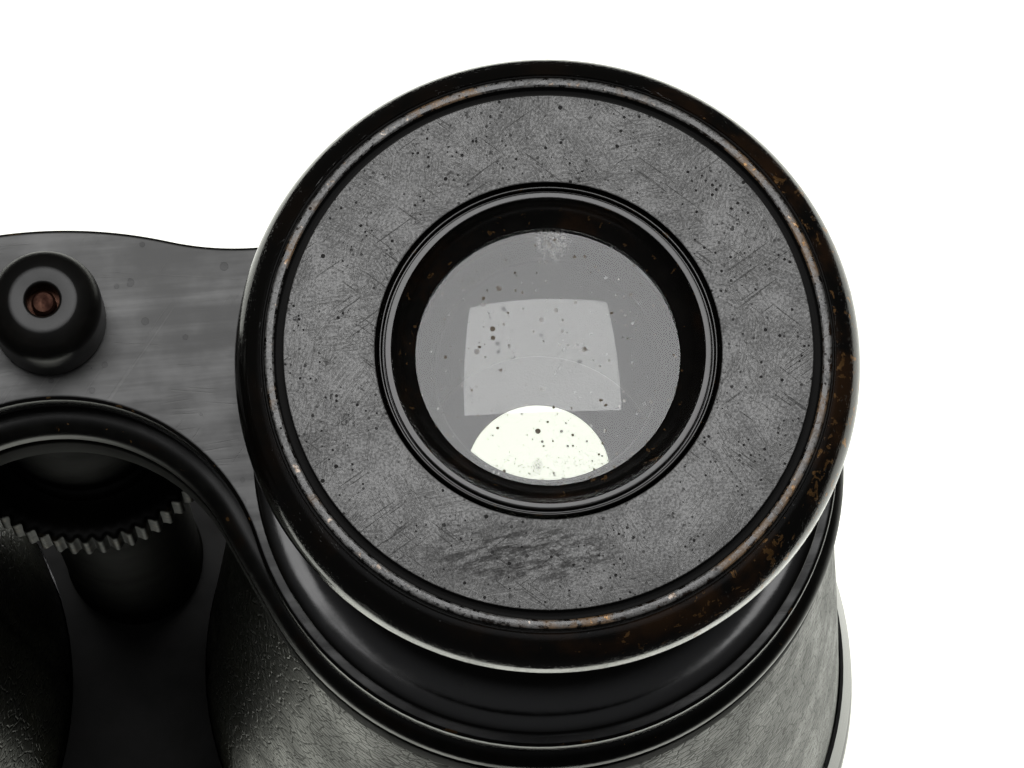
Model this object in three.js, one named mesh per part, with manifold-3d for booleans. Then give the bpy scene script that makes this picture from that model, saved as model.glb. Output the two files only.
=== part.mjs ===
// Galilean field glasses in black-lacquered brass with leather-covered barrels.
// Millimetres, +Z up. The glasses stand on their two objective rings: Z = 0 is that plane,
// the optical axes are parallel to Z, and the origin lies midway between them.
// +Y is the side of the focusing screw, -Y the side of the nose arch.
import * as THREE from 'three';
import { mergeVertices } from 'three/addons/utils/BufferGeometryUtils.js';
import Module from 'manifold-3d';

const wasm = await Module();
wasm.setup();

// ---- driving dimensions -------------------------------------------------------------
const HALF_SPACING = 32.25; // optical axis to the middle plane
const HEIGHT = 124; // objective rim to eyecup face, focusing closed
const GAP = 0.3; // clearance between pieces that meet
const SCREW_Y = 10; // focusing screw, behind the line of the optical axes

const EYECUP_R = 19;
const EYECUP_BOTTOM_Z = 113.6;
const EYECUP_SHOULDER_Z = 119.2; // the bezel fits above it and the neck below it
const FACE_INNER_R = 10.45; // inside edge of the eyecup's flat face
const BEAD_R = 17; // raised bead round the face
const BEZEL_BOTTOM_Z = 115.6;
const LENS_RETAINER_BOTTOM_Z = 116.7;
const LENS_CLEAR_R = 8;
const EYE_LENS_R = 9;
const EYE_STOP_R = 7.05; // opening of the ring that holds the lens from below
const NECK_R = 13;
const NECK_WALL = 0.8;
const NECK_FOOT_R = 19;
const TUBE_R = 16.5; // draw tube, outside
const TUBE_WALL = 0.8;
const TUBE_BOTTOM_Z = 60;
const TUBE_STOP_R = 9; // opening of the light stop in its lower end

const MOVING_TOP_Z = 96; // plate that carries the eyepieces
const MOVING_THICKNESS = 2.2;
const TOP_PLATE_THICKNESS = 3.3;
const FRAME_PLATE_THICKNESS = 3.5;
const LOWER_BRIDGE_BOTTOM_Z = 11.3;
const LOWER_BRIDGE_THICKNESS = 3.7;

const OBJECTIVE_RING_R = 28.4;
const OBJECTIVE_RING_HEIGHT = 11;
const OBJECTIVE_RIM_R = 24.5; // inside edge of the rim that the glasses stand on
const OBJECTIVE_R = 21.5; // the object glass
const OBJECTIVE_CLEAR_R = 19;
const CROWN_FRONT_Z = 2.4;
const CROWN_BACK_Z = 10.2;
const FLINT_BACK_Z = 12.6;
const CEMENTED_CURVE = 90; // radius of the curve that crown and flint share
const BARREL_TOP_R = 19.3;
const BARREL_BOTTOM_R = 26.5;
const BARREL_BOTTOM_Z = 7;
const BARREL_WALL = 0.9;
const LEATHER_THICKNESS = 0.7;

const SLEEVE_BOTTOM_Z = 70; // sleeve that guides the draw tube
const FELT_BOTTOM_Z = 78;

const SCREW_R = 2.5;
const SCREW_HOLE_R = 2.9;
const SCREW_BOTTOM_Z = 44;
const SCREW_TOP_Z = 100;
const COLUMN_R = 6;
const COLUMN_BORE_R = 4.3; // at the foot, for the end screw
const DOME_NUT_R = 3.75;
const DOME_NUT_TOP_Z = 102;
const WASHER_THICKNESS = 0.5;
const WHEEL_R = 9.8;
const WHEEL_BOTTOM_Z = 65;
const WHEEL_HEIGHT = 6.4;
const WHEEL_TEETH = 56;

// Segments round a full turn.
const ROUND_FINE = 32;
const ROUND = 20;
const ROUND_SMALL = 8;

// ---- levels worked out from them ----------------------------------------------------
const TOP_PLATE_TOP_Z = MOVING_TOP_Z - MOVING_THICKNESS - GAP;
const FRAME_PLATE_TOP_Z = TOP_PLATE_TOP_Z - TOP_PLATE_THICKNESS - GAP;
const FRAME_PLATE_BOTTOM_Z = FRAME_PLATE_TOP_Z - FRAME_PLATE_THICKNESS;
const BARREL_TOP_Z = FRAME_PLATE_BOTTOM_Z - GAP;
const LOWER_BRIDGE_TOP_Z = LOWER_BRIDGE_BOTTOM_Z + LOWER_BRIDGE_THICKNESS;
const COLUMN_TOP_Z = WHEEL_BOTTOM_Z - WASHER_THICKNESS - 0.4;
const WHEEL_TOP_Z = WHEEL_BOTTOM_Z + WHEEL_HEIGHT;
const SLEEVE_BORE_R = TUBE_R + 0.9;
const SLEEVE_R = TUBE_R + 1.5;

// ---- materials ----------------------------------------------------------------------
const blackLacquer = () => new THREE.MeshStandardMaterial({ color: 0x17150f, roughness: 0.3, metalness: 0.4 });
const satinLacquer = () => new THREE.MeshStandardMaterial({ color: 0x2b2a28, roughness: 0.5, metalness: 0.3 });
const insideBlack = () => new THREE.MeshStandardMaterial({ color: 0x0a0a0a, roughness: 0.9, metalness: 0.1 });
const leather = () => new THREE.MeshStandardMaterial({ color: 0x1c1d17, roughness: 0.55, metalness: 0 });
const brass = () => new THREE.MeshStandardMaterial({ color: 0x8a6534, roughness: 0.4, metalness: 0.9 });
const felt = () => new THREE.MeshStandardMaterial({ color: 0x1a1a1a, roughness: 1, metalness: 0 });
const glass = () => new THREE.MeshStandardMaterial({
  color: 0xdfe6e2,
  roughness: 0.05,
  metalness: 0,
  transparent: true,
  opacity: 0.35,
});

// ---- geometry helpers ---------------------------------------------------------------
function positionsOnly(geometry) {
  const bare = geometry.clone();
  bare.deleteAttribute('normal');
  bare.deleteAttribute('uv');
  return mergeVertices(bare, 1e-4);
}

function toManifold(geometry) {
  const merged = positionsOnly(geometry);
  return new wasm.Manifold(new wasm.Mesh({
    numProp: 3,
    vertProperties: new Float32Array(merged.attributes.position.array),
    triVerts: new Uint32Array(merged.index.array),
  }));
}

function fromManifold(manifold) {
  const mesh = manifold.getMesh();
  const geometry = new THREE.BufferGeometry();
  geometry.setAttribute('position', new THREE.BufferAttribute(mesh.vertProperties, 3));
  geometry.setIndex(new THREE.BufferAttribute(mesh.triVerts, 1));
  geometry.computeVertexNormals();
  return geometry;
}

function cut(geometry, ...tools) {
  return fromManifold(tools.reduce((body, tool) => body.subtract(toManifold(tool)), toManifold(geometry)));
}

function join(...geometries) {
  return fromManifold(geometries.map(toManifold).reduce((body, next) => body.add(next)));
}

// A solid of revolution about Z. The profile is [radius, z] pairs, anticlockwise as seen
// with the axis on the left. It closes on itself, or starts and ends on the axis.
function turned(profile, segments = ROUND) {
  const onAxis = profile[0][0] === 0;
  const closed = onAxis ? profile : [...profile, profile[0]];
  const points = closed.map(([radius, z]) => new THREE.Vector2(radius, z));
  const geometry = new THREE.LatheGeometry(points, segments);
  geometry.rotateX(Math.PI / 2);
  return positionsOnly(geometry);
}

function tube(innerR, outerR, bottomZ, topZ, segments = ROUND) {
  return turned([[innerR, bottomZ], [outerR, bottomZ], [outerR, topZ], [innerR, topZ]], segments);
}

function disc(radius, bottomZ, topZ, segments = ROUND) {
  return turned([[0, bottomZ], [radius, bottomZ], [radius, topZ], [0, topZ]], segments);
}

// Points on an arc of a profile, from one angle to the other in degrees.
function arc(centreR, centreZ, radiusR, radiusZ, fromDeg, toDeg, steps) {
  return Array.from({ length: steps + 1 }, (_, i) => {
    const angle = THREE.MathUtils.degToRad(fromDeg + ((toDeg - fromDeg) * i) / steps);
    return [centreR + radiusR * Math.cos(angle), centreZ + radiusZ * Math.sin(angle)];
  });
}

function pieceOf(name, geometry, material, x = 0, y = 0) {
  const mesh = new THREE.Mesh(geometry, material);
  mesh.name = name;
  mesh.position.set(x, y, 0);
  return mesh;
}

// ---- bridge plates ------------------------------------------------------------------
// The outline is a ring round each barrel, joined on the -Y side by the concave nose arch
// and on the +Y side by a shallow convex bulge round the screw, with a concave saddle
// between the bulge and each ring.
const UPPER_PLATE = { ringR: 19.7, archR: 13.8, archY: -9.07, bulgeR: 31.6, bulgeTopY: 16.4, saddleR: 20 };
const LOWER_PLATE = { ringR: 27.9, archR: 9.5, archY: -19, bulgeR: 9, bulgeTopY: 19, saddleR: 7 };
const ARC_STEP = 14; // degrees
const BULGE_STEP = 8;

// How far the two fixed upper plates stand out past the moving one.
const FIXED_PLATE_LEDGE = 0.8;
const FIXED_ARCH_LEDGE = 1.5;

// Where the circle at (0, y) of radius a and the one at (HALF_SPACING, 0) of radius b share
// a crossed tangent: the direction from the first centre to its point of contact.
function crossedTangent(y, a, b) {
  const distance = Math.hypot(HALF_SPACING, y);
  const between = Math.atan2(-y, HALF_SPACING);
  return between + Math.acos(Math.min(1, (a + b) / distance));
}

// The saddle's centre: outside both the bulge and the ring by its own radius.
function saddleCentre(bulgeY, bulgeR, ringR, saddleR) {
  const toBulge = bulgeR + saddleR;
  const toRing = ringR + saddleR;
  const distance = Math.hypot(HALF_SPACING, bulgeY);
  const along = (toBulge ** 2 - toRing ** 2 + distance ** 2) / (2 * distance);
  const across = Math.sqrt(toBulge ** 2 - along ** 2);
  const unitX = HALF_SPACING / distance;
  const unitY = -bulgeY / distance;
  return [along * unitX - across * unitY, bulgeY + along * unitY + across * unitX];
}

// Points on a plan-view arc, with one step for each stepDeg or part of it.
function planArc(x, y, radius, from, to, stepDeg) {
  const steps = Math.ceil(Math.abs(to - from) / THREE.MathUtils.degToRad(stepDeg));
  return Array.from({ length: steps }, (_, i) => {
    const angle = from + ((to - from) * i) / steps;
    return new THREE.Vector2(x + radius * Math.cos(angle), y + radius * Math.sin(angle));
  });
}

function bridgeShape(plan, grow = 0, growArch = grow) {
  const ringR = plan.ringR + grow;
  const archR = plan.archR - growArch;
  const bulgeR = plan.bulgeR + grow;
  const saddleR = plan.saddleR - grow;
  const bulgeY = plan.bulgeTopY - plan.bulgeR;
  const [saddleX, saddleY] = saddleCentre(bulgeY, bulgeR, ringR, saddleR);

  const archEnd = crossedTangent(plan.archY, archR, ringR);
  const toSaddle = Math.atan2(saddleY, saddleX - HALF_SPACING);
  const fromBulge = Math.atan2(saddleY - bulgeY, saddleX);
  const { PI } = Math;

  return new THREE.Shape([
    ...planArc(0, plan.archY, archR, PI - archEnd, archEnd, ARC_STEP),
    ...planArc(HALF_SPACING, 0, ringR, archEnd - PI, toSaddle, ARC_STEP),
    ...planArc(saddleX, saddleY, saddleR, toSaddle + PI, fromBulge + PI, ARC_STEP),
    ...planArc(0, bulgeY, bulgeR, fromBulge, PI - fromBulge, BULGE_STEP),
    ...planArc(-saddleX, saddleY, saddleR, -fromBulge, -toSaddle, ARC_STEP),
    ...planArc(-HALF_SPACING, 0, ringR, PI - toSaddle, 2 * PI - archEnd, ARC_STEP),
  ]);
}

function addHole(shape, x, y, radius, segments = ROUND_SMALL) {
  shape.holes.push(new THREE.Path(planArc(x, y, radius, 2 * Math.PI, 0, 360 / segments)));
}

function addTubeHoles(shape, radius, segments = ROUND) {
  for (const side of [-1, 1]) addHole(shape, side * HALF_SPACING, 0, radius, segments);
}

// A plate of that outline, with its edges chamfered by the given size.
function bridgePlate(shape, bottomZ, thickness, edge = 0) {
  const geometry = new THREE.ExtrudeGeometry(shape, {
    depth: thickness - 2 * edge,
    bevelEnabled: edge > 0,
    bevelThickness: edge,
    bevelSize: edge,
    bevelOffset: -edge,
    bevelSegments: 1,
  });
  geometry.translate(0, 0, bottomZ + edge);
  return positionsOnly(geometry);
}

const PLATE_SCREWS = [[-7.5, 12.6], [7.5, 12.6], [-5.5, 7], [5.5, 7]];
const PLATE_SCREW = { headR: 1.7, shankR: 0.9, headHeight: 1.2, slot: 0.5 };

function movingPlate() {
  const shape = bridgeShape(UPPER_PLATE);
  addTubeHoles(shape, TUBE_R + GAP);
  addHole(shape, 0, SCREW_Y, SCREW_R + GAP);
  return bridgePlate(shape, MOVING_TOP_Z - MOVING_THICKNESS, MOVING_THICKNESS, 0.3);
}

function topPlate() {
  const shape = bridgeShape(UPPER_PLATE, FIXED_PLATE_LEDGE, FIXED_ARCH_LEDGE);
  addTubeHoles(shape, TUBE_R + GAP);
  addHole(shape, 0, SCREW_Y, SCREW_HOLE_R);
  for (const [x, y] of PLATE_SCREWS) addHole(shape, x, y, PLATE_SCREW.shankR + GAP);
  const plate = bridgePlate(shape, TOP_PLATE_TOP_Z - TOP_PLATE_THICKNESS, TOP_PLATE_THICKNESS, 0.5);
  const headDepth = PLATE_SCREW.headHeight + 2 * GAP;
  const pocket = ([x, y]) => disc(
    PLATE_SCREW.headR + GAP,
    TOP_PLATE_TOP_Z - headDepth,
    TOP_PLATE_TOP_Z + GAP,
    ROUND_SMALL,
  ).translate(x, y, 0);
  return cut(plate, ...PLATE_SCREWS.map(pocket));
}

function framePlate() {
  const shape = bridgeShape(UPPER_PLATE, FIXED_PLATE_LEDGE, FIXED_ARCH_LEDGE);
  addTubeHoles(shape, SLEEVE_R + GAP);
  addHole(shape, 0, SCREW_Y, SCREW_HOLE_R);
  for (const [x, y] of PLATE_SCREWS) addHole(shape, x, y, PLATE_SCREW.shankR + GAP);
  return bridgePlate(shape, FRAME_PLATE_BOTTOM_Z, FRAME_PLATE_THICKNESS);
}

function lowerBridge() {
  const shape = bridgeShape(LOWER_PLATE);
  addTubeHoles(shape, BARREL_BOTTOM_R + 0.2, ROUND_FINE);
  addHole(shape, 0, SCREW_Y, COLUMN_BORE_R, ROUND);
  return bridgePlate(shape, LOWER_BRIDGE_BOTTOM_Z, LOWER_BRIDGE_THICKNESS, 0.4);
}

function plateScrew() {
  const { headR, shankR, headHeight, slot } = PLATE_SCREW;
  const tip = FRAME_PLATE_BOTTOM_Z + GAP;
  const headTop = TOP_PLATE_TOP_Z - GAP;
  const headBottom = headTop - headHeight;
  const slotCutter = new THREE.BoxGeometry(3 * headR, slot, 2 * slot).translate(0, 0, headTop);
  const blank = turned([
    [0, tip],
    [shankR, tip],
    [shankR, headBottom],
    [headR, headBottom],
    [headR, headTop],
    [0, headTop],
  ], ROUND_SMALL);
  return cut(blank, slotCutter);
}

// ---- eyepiece -----------------------------------------------------------------------
function eyecup() {
  const face = HEIGHT;
  const groove = 0.4; // depth of the grooves turned in the face
  const neckBore = NECK_R + GAP;
  const bezelBore = FACE_INNER_R - 0.15;
  const rimR = 1.8; // how far the rounded rim reaches past the bead
  return turned([
    [neckBore + GAP, EYECUP_BOTTOM_Z],
    [neckBore + 1.9, EYECUP_BOTTOM_Z + 1.8],
    [neckBore + 3.3, EYECUP_BOTTOM_Z + 3.4],
    ...arc(EYECUP_R - rimR, face - 4.6, rimR, 2.2, -70, 0, 2),
    ...arc(EYECUP_R - rimR, face - 3, rimR, 2.8, 0, 76, 3),
    [BEAD_R + groove, face - 0.2],
    [BEAD_R, face],
    [BEAD_R - 0.55, face],
    [BEAD_R - 0.8, face - groove],
    [BEAD_R - 1.1, face],
    [FACE_INNER_R, face],
    [bezelBore, face - groove],
    [bezelBore, EYECUP_SHOULDER_Z],
    [neckBore, EYECUP_SHOULDER_Z],
    [neckBore, EYECUP_BOTTOM_Z],
  ], ROUND_FINE);
}

function lensBezel() {
  const outer = FACE_INNER_R - 0.15 - GAP;
  const lensBore = EYE_LENS_R + GAP;
  const coneTop = LENS_CLEAR_R + 1.43;
  const coneDepth = 1.7;
  const seat = HEIGHT - 2.1;
  return turned([
    [lensBore, BEZEL_BOTTOM_Z],
    [outer, BEZEL_BOTTOM_Z],
    [outer, HEIGHT - 0.7],
    [coneTop + 0.41, HEIGHT - 0.2],
    [coneTop + 0.21, HEIGHT - 0.05], // rounded lip
    [coneTop, HEIGHT - 0.2],
    [LENS_CLEAR_R, HEIGHT - coneDepth],
    [LENS_CLEAR_R, seat],
    [lensBore, seat],
  ], ROUND_FINE);
}

// Height of a spherical surface at a radius, measured from its vertex.
const sag = (radius, curvature) => curvature - Math.sqrt(curvature ** 2 - radius ** 2);

// A lens face from the axis outwards, by its vertex, radius of curvature and direction.
function lensFace(vertexZ, curvature, direction, edgeR, steps = 3) {
  return Array.from({ length: steps + 1 }, (_, i) => {
    const radius = (edgeR * i) / steps;
    return [radius, vertexZ + direction * sag(radius, curvature)];
  });
}

// The negative lens of a Galilean eyepiece.
function eyeLens() {
  const lower = lensFace(HEIGHT - 4.65, 47.8, -1, EYE_LENS_R);
  const upper = lensFace(HEIGHT - 2.4, 170, 1, EYE_LENS_R);
  return turned([...lower, ...upper.reverse()]);
}

function lensRetainer() {
  const flangeTop = LENS_RETAINER_BOTTOM_Z + 1;
  const lipR = EYE_LENS_R - 0.6;
  return turned([
    [EYE_STOP_R, LENS_RETAINER_BOTTOM_Z],
    [EYE_LENS_R, LENS_RETAINER_BOTTOM_Z],
    [EYE_LENS_R, flangeTop + 0.5],
    [lipR, flangeTop + 0.5],
    [lipR, flangeTop],
    [EYE_STOP_R, flangeTop],
  ]);
}

function neck() {
  const foot = MOVING_TOP_Z + GAP;
  const footEdge = 0.25;
  const coveR = 5.2;
  const coveFoot = foot + 0.6;
  const top = EYECUP_SHOULDER_Z - GAP;
  const bore = NECK_R - NECK_WALL;
  return turned([
    [bore, foot],
    [NECK_FOOT_R, foot],
    [NECK_FOOT_R, foot + footEdge],
    [NECK_FOOT_R - 0.5, coveFoot],
    ...arc(NECK_R + coveR, coveFoot + coveR, coveR, coveR, 270, 180, 4),
    [NECK_R, top],
    [bore, top],
  ], ROUND_FINE);
}

const drawTube = () => tube(TUBE_R - TUBE_WALL, TUBE_R, TUBE_BOTTOM_Z, MOVING_TOP_Z - GAP);

function drawTubeStop() {
  const bottomZ = TUBE_BOTTOM_Z + GAP;
  return tube(TUBE_STOP_R, TUBE_R - TUBE_WALL - GAP, bottomZ, bottomZ + 0.8);
}

// ---- barrel and objective -----------------------------------------------------------
function barrelRadius(z) {
  const t = (z - BARREL_BOTTOM_Z) / (BARREL_TOP_Z - BARREL_BOTTOM_Z);
  return BARREL_BOTTOM_R + (BARREL_TOP_R - BARREL_BOTTOM_R) * t;
}

function barrel() {
  return turned([
    [BARREL_BOTTOM_R - BARREL_WALL, BARREL_BOTTOM_Z],
    [BARREL_BOTTOM_R, BARREL_BOTTOM_Z],
    [BARREL_TOP_R, BARREL_TOP_Z],
    [BARREL_TOP_R - BARREL_WALL, BARREL_TOP_Z],
  ], ROUND_FINE);
}

function leatherCover() {
  const bottomZ = LOWER_BRIDGE_TOP_Z + GAP;
  const inner = (z) => barrelRadius(z) + 0.15;
  const outer = (z) => inner(z) + LEATHER_THICKNESS;
  return turned([
    [inner(bottomZ), bottomZ],
    [outer(bottomZ), bottomZ],
    [outer(BARREL_TOP_Z), BARREL_TOP_Z],
    [inner(BARREL_TOP_Z), BARREL_TOP_Z],
  ], ROUND_FINE);
}

// Rim, socket for the barrel and, inside the barrel, the cell of the object glass.
function objectiveRing() {
  const edge = 0.5;
  const grooveZ = 4;
  const groove = 0.4;
  const barrelBore = BARREL_BOTTOM_R + GAP;
  const barrelSeat = BARREL_BOTTOM_Z - GAP;
  const cellTop = FLINT_BACK_Z + 2;
  const lensBore = OBJECTIVE_R + GAP;
  const lipR = OBJECTIVE_CLEAR_R + 0.6;
  return turned([
    [OBJECTIVE_RIM_R, 0],
    [OBJECTIVE_RING_R - edge, 0],
    [OBJECTIVE_RING_R, edge],
    [OBJECTIVE_RING_R, grooveZ - groove],
    [OBJECTIVE_RING_R - groove, grooveZ],
    [OBJECTIVE_RING_R, grooveZ + groove],
    [OBJECTIVE_RING_R, OBJECTIVE_RING_HEIGHT - 1.4],
    [OBJECTIVE_RING_R - 0.8, OBJECTIVE_RING_HEIGHT],
    [barrelBore, OBJECTIVE_RING_HEIGHT],
    [barrelBore, barrelSeat],
    [OBJECTIVE_RIM_R, barrelSeat],
    [OBJECTIVE_RIM_R, cellTop],
    [lensBore, cellTop],
    [lensBore, CROWN_FRONT_Z + 1.6],
    [lipR, CROWN_FRONT_Z + 1.3],
    [lipR, CROWN_FRONT_Z + 0.3],
    [OBJECTIVE_RIM_R, CROWN_FRONT_Z - 0.5],
  ], ROUND_FINE);
}

// The object glass is a double-convex crown cemented to a plano-concave flint.
function crownLens() {
  const front = lensFace(CROWN_FRONT_Z, 100, 1, OBJECTIVE_R);
  const back = lensFace(CROWN_BACK_Z, CEMENTED_CURVE, -1, OBJECTIVE_R);
  return turned([...front, ...back.reverse()]);
}

function flintLens() {
  const radius = OBJECTIVE_R - 0.6;
  const front = lensFace(CROWN_BACK_Z + GAP, CEMENTED_CURVE, -1, radius);
  return turned([...front, [radius, FLINT_BACK_Z], [0, FLINT_BACK_Z]]);
}

function objectiveRetainer() {
  const bottomZ = FLINT_BACK_Z + GAP;
  return tube(OBJECTIVE_CLEAR_R, OBJECTIVE_R, bottomZ, bottomZ + 1.5);
}

// Between draw tube and barrel: a fixed sleeve lined with felt.
const FELT_INNER_R = TUBE_R + 0.2;
const FELT_OUTER_R = TUBE_R + 0.6;
const guideSleeve = () => tube(SLEEVE_BORE_R, SLEEVE_R, SLEEVE_BOTTOM_Z, FRAME_PLATE_TOP_Z - GAP);
const feltLining = () => tube(FELT_INNER_R, FELT_OUTER_R, FELT_BOTTOM_Z, FRAME_PLATE_TOP_Z - GAP);

// ---- focusing -----------------------------------------------------------------------
function domeNut() {
  const foot = MOVING_TOP_Z + GAP;
  const top = DOME_NUT_TOP_Z;
  const bore = SCREW_R + GAP;
  const pinHoleR = 1.1;
  return turned([
    [bore, foot],
    [DOME_NUT_R - 0.35, foot],
    [DOME_NUT_R, foot + 0.4],
    [DOME_NUT_R, top - 2],
    [DOME_NUT_R - 0.45, top - 0.9],
    [DOME_NUT_R - 1.25, top - 0.3],
    [pinHoleR + 0.1, top],
    [pinHoleR, top - 0.2],
    [pinHoleR, top - 1.3],
    [bore, top - 1.6],
  ], ROUND);
}

function focusScrew() {
  const edge = 0.5;
  const pipR = 0.8; // riveted end that shows in the dome nut
  const pipTop = SCREW_TOP_Z + 1.4;
  return turned([
    [0, SCREW_BOTTOM_Z],
    [SCREW_R - edge, SCREW_BOTTOM_Z],
    [SCREW_R, SCREW_BOTTOM_Z + edge],
    [SCREW_R, SCREW_TOP_Z],
    [pipR, SCREW_TOP_Z],
    [pipR, pipTop - 0.2],
    [0, pipTop],
  ], ROUND_SMALL);
}

function focusWheel() {
  const rimHeight = 4.6;
  const toothDepth = 0.5;
  const hubR = 6.6;
  const bore = SCREW_R + 1.6;
  const shape = new THREE.Shape(Array.from({ length: 2 * WHEEL_TEETH }, (_, i) => {
    const angle = (Math.PI * i) / WHEEL_TEETH;
    const radius = WHEEL_R - (i % 2) * toothDepth;
    return new THREE.Vector2(radius * Math.cos(angle), radius * Math.sin(angle));
  }));
  addHole(shape, 0, 0, bore, ROUND);
  const rim = new THREE.ExtrudeGeometry(shape, { depth: rimHeight, bevelEnabled: false });
  rim.translate(0, 0, WHEEL_BOTTOM_Z + (WHEEL_HEIGHT - rimHeight) / 2);
  const hub = tube(bore, hubR, WHEEL_BOTTOM_Z, WHEEL_TOP_Z);
  return join(rim, hub);
}

const CLEAR = 0.2; // running clearance
const COLLAR_BORE_R = SCREW_HOLE_R + CLEAR;
const WASHER_R = 5.6;
const COLLAR_R = 6.4;

const focusNut = () => tube(SCREW_R + GAP, SCREW_R + 1.2, WHEEL_BOTTOM_Z + CLEAR, WHEEL_TOP_Z - CLEAR);
const washer = (bottomZ) => tube(COLLAR_BORE_R, WASHER_R, bottomZ, bottomZ + WASHER_THICKNESS);
const upperWasher = () => washer(WHEEL_TOP_Z + CLEAR);
const lowerWasher = () => washer(WHEEL_BOTTOM_Z - CLEAR - WASHER_THICKNESS);

function columnCollar() {
  const bottomZ = WHEEL_TOP_Z + WASHER_THICKNESS + 2 * CLEAR;
  return tube(COLLAR_BORE_R, COLLAR_R, bottomZ, BARREL_TOP_Z);
}

function column() {
  const foot = LOWER_BRIDGE_TOP_Z + GAP;
  const counterboreTop = foot + 7;
  return turned([
    [COLUMN_BORE_R, foot],
    [COLUMN_R, foot],
    [COLUMN_R, COLUMN_TOP_Z],
    [COLLAR_BORE_R, COLUMN_TOP_Z],
    [COLLAR_BORE_R, counterboreTop],
    [COLUMN_BORE_R, counterboreTop],
  ]);
}

function columnEndScrew() {
  const headTop = LOWER_BRIDGE_BOTTOM_Z - GAP;
  const headHeight = 2;
  const headR = 5.4;
  const edge = 0.8;
  const shankR = COLUMN_BORE_R - GAP;
  const shankTop = LOWER_BRIDGE_TOP_Z + 6;
  return turned([
    [0, headTop - headHeight],
    [headR - edge, headTop - headHeight],
    [headR, headTop - headHeight + edge],
    [headR, headTop],
    [shankR, headTop],
    [shankR, shankTop],
    [0, shankTop],
  ]);
}

// ---- the assembly -------------------------------------------------------------------
function opticalTube(side, x) {
  const at = (name, geometry, material) => pieceOf(`${name}_${side}`, geometry, material, x);
  const tubeGroup = new THREE.Group();
  tubeGroup.add(
    at('eyecup', eyecup(), satinLacquer()),
    at('lens_bezel', lensBezel(), blackLacquer()),
    at('eye_lens', eyeLens(), glass()),
    at('eye_lens_retainer', lensRetainer(), insideBlack()),
    at('eyepiece_neck', neck(), blackLacquer()),
    at('draw_tube', drawTube(), blackLacquer()),
    at('draw_tube_stop', drawTubeStop(), insideBlack()),
    at('guide_sleeve', guideSleeve(), insideBlack()),
    at('felt_lining', feltLining(), felt()),
    at('barrel', barrel(), blackLacquer()),
    at('leather_cover', leatherCover(), leather()),
    at('objective_ring', objectiveRing(), blackLacquer()),
    at('objective_crown_lens', crownLens(), glass()),
    at('objective_flint_lens', flintLens(), glass()),
    at('objective_retainer', objectiveRetainer(), insideBlack()),
  );
  return tubeGroup;
}

function bridges() {
  const group = new THREE.Group();
  group.add(
    pieceOf('moving_bridge_plate', movingPlate(), satinLacquer()),
    pieceOf('top_plate', topPlate(), blackLacquer()),
    pieceOf('frame_plate', framePlate(), blackLacquer()),
    pieceOf('lower_bridge', lowerBridge(), blackLacquer()),
  );
  PLATE_SCREWS.forEach(([x, y], i) => {
    group.add(pieceOf(`top_plate_screw_${i + 1}`, plateScrew(), brass(), x, y));
  });
  return group;
}

function focusing() {
  const group = new THREE.Group();
  const onScrew = (name, geometry, material) => group.add(pieceOf(name, geometry, material, 0, SCREW_Y));
  onScrew('dome_nut', domeNut(), blackLacquer());
  onScrew('focus_screw', focusScrew(), brass());
  onScrew('focus_wheel', focusWheel(), blackLacquer());
  onScrew('focus_nut', focusNut(), brass());
  onScrew('thrust_washer_upper', upperWasher(), brass());
  onScrew('thrust_washer_lower', lowerWasher(), brass());
  onScrew('column_collar', columnCollar(), blackLacquer());
  onScrew('centre_column', column(), blackLacquer());
  onScrew('column_end_screw', columnEndScrew(), blackLacquer());
  return group;
}

const glasses = new THREE.Group();
glasses.add(
  opticalTube('left', -HALF_SPACING),
  opticalTube('right', HALF_SPACING),
  bridges(),
  focusing(),
);

export default glasses;
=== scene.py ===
import math

import bmesh
import bpy
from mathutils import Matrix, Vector


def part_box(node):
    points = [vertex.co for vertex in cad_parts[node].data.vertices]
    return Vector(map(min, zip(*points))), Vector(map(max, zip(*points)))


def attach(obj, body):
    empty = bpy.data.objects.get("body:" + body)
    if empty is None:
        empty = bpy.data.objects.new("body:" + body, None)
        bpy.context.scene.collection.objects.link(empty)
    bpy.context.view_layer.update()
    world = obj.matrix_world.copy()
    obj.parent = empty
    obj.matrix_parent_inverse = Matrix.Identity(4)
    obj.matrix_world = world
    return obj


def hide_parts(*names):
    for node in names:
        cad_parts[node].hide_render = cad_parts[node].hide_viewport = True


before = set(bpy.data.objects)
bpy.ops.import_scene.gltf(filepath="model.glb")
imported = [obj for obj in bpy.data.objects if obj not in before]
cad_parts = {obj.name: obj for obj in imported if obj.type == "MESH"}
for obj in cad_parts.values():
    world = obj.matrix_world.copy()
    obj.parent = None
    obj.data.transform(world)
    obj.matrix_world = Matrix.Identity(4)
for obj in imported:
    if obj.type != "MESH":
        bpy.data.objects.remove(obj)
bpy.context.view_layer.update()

MM = 0.001
OCULAR, BODY, WHEEL_BODY = "ocular_bridge", "body", "wheel"
SIDES = (("left", -1), ("right", 1))


def levels(node):
    """Bottom and top of a CAD node."""
    low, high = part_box(node)
    return low.z / MM, high.z / MM


def outer_radius(node):
    """Half the width of a turned CAD node."""
    low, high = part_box(node)
    return (high.x - low.x) / 2 / MM


def middle(node):
    """The X and Y of a CAD node's centre."""
    low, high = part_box(node)
    return (low.x + high.x) / 2 / MM, (low.y + high.y) / 2 / MM


FACE = levels("eyecup_right")[1]
AXIS_X = middle("eyecup_right")[0]
SCREW_Y = middle("focus_screw")[1]
LEATHER_TOP = levels("leather_cover_right")[1]
WHEEL_R = outer_radius("focus_wheel")

# Radii on an eyecup, from its bore to its bead. The surfaces and the lacquer both follow them.
EYECUP_BORE = 10.3
FACE_IN, FACE_OUT = 10.42, 15.95
BEAD_IN, BEAD_OUT = 16.42, 17.2

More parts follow.
